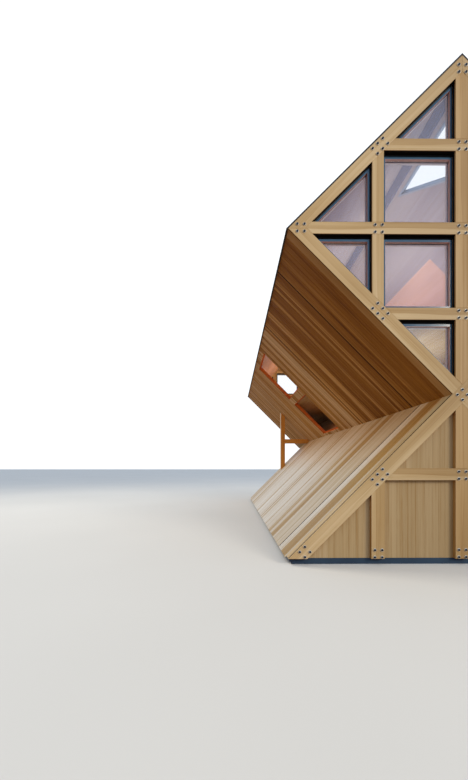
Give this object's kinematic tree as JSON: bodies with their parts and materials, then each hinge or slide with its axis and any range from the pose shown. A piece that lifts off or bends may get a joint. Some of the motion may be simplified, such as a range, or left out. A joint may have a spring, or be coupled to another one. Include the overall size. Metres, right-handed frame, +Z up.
{
  "type": "a-frame cabin",
  "caption": "Timber cabin with an hourglass section: a boarded tent-shaped lower storey carries a longer diamond-shaped upper storey with glazed gables of lapped timbers.",
  "frame": {"origin": "centre of the bounding box, at the underside of the concrete plinth", "axes": "+X across the gable to the right of someone facing the front, +Y from the front gable to the back, +Z up"},
  "size_m": [6.0608, 13, 8.8001],
  "materials": {
    "concrete": "fair-faced grey concrete",
    "timber_frame": "planed pale softwood, oiled",
    "wall_boards": "vertical planed softwood boards",
    "underside_boards": "reddish brown softwood boards along the slope",
    "lower_roof_boards": "silvery pale weathered softwood boards",
    "roof_panel": "pale planed softwood boards inside",
    "floor_boards": "planed softwood floor boards",
    "wood_window_frame": "oiled reddish wood",
    "window_frame": "satin blue-grey paint",
    "dark_trim": "matt black paint",
    "roof_sheet": "matt dark brown sheet",
    "glass": "clear insulating glass"
  },
  "bodies": {
    "root": {"plinth": "concrete", "ground_floor": "floor_boards", "upper_floor": "floor_boards", "front_rising_diagonal": "timber_frame", "front_falling_diagonal": "timber_frame", "front_left_rafter": "timber_frame", "front_right_rafter": "timber_frame", "front_centre_post": "timber_frame", "front_side_posts": "timber_frame", "front_cross_beams": "timber_frame", "front_window_frames": "window_frame", "front_window_glass": "glass", "front_window_heads": "dark_trim", "front_panels": "wall_boards", "back_left_rafter": "timber_frame", "back_right_rafter": "timber_frame", "back_left_diagonal": "timber_frame", "back_right_diagonal": "timber_frame", "back_posts": "timber_frame", "back_cross_beams": "timber_frame", "back_window_frames": "window_frame", "back_window_glass": "glass", "back_window_heads": "dark_trim", "rear_wall_left_diagonal": "timber_frame", "rear_wall_right_diagonal": "timber_frame", "rear_wall_posts": "timber_frame", "rear_wall_beam": "timber_frame", "rear_wall_panels": "wall_boards", "waist_beam": "timber_frame", "ridge_beam": "timber_frame", "left_roof": "roof_panel", "right_roof": "roof_panel", "left_roof_sheet": "roof_sheet", "right_roof_sheet": "roof_sheet", "left_underside": "underside_boards", "right_underside": "underside_boards", "left_lower_roof": "lower_roof_boards", "right_lower_roof": "lower_roof_boards", "underside_window_frames": "wood_window_frame", "underside_window_glass": "glass", "rooflight_frame": "window_frame", "rooflight_glass": "glass", "porch_posts": "timber_frame", "porch_bars": "timber_frame"}
  },
  "joints": []
}
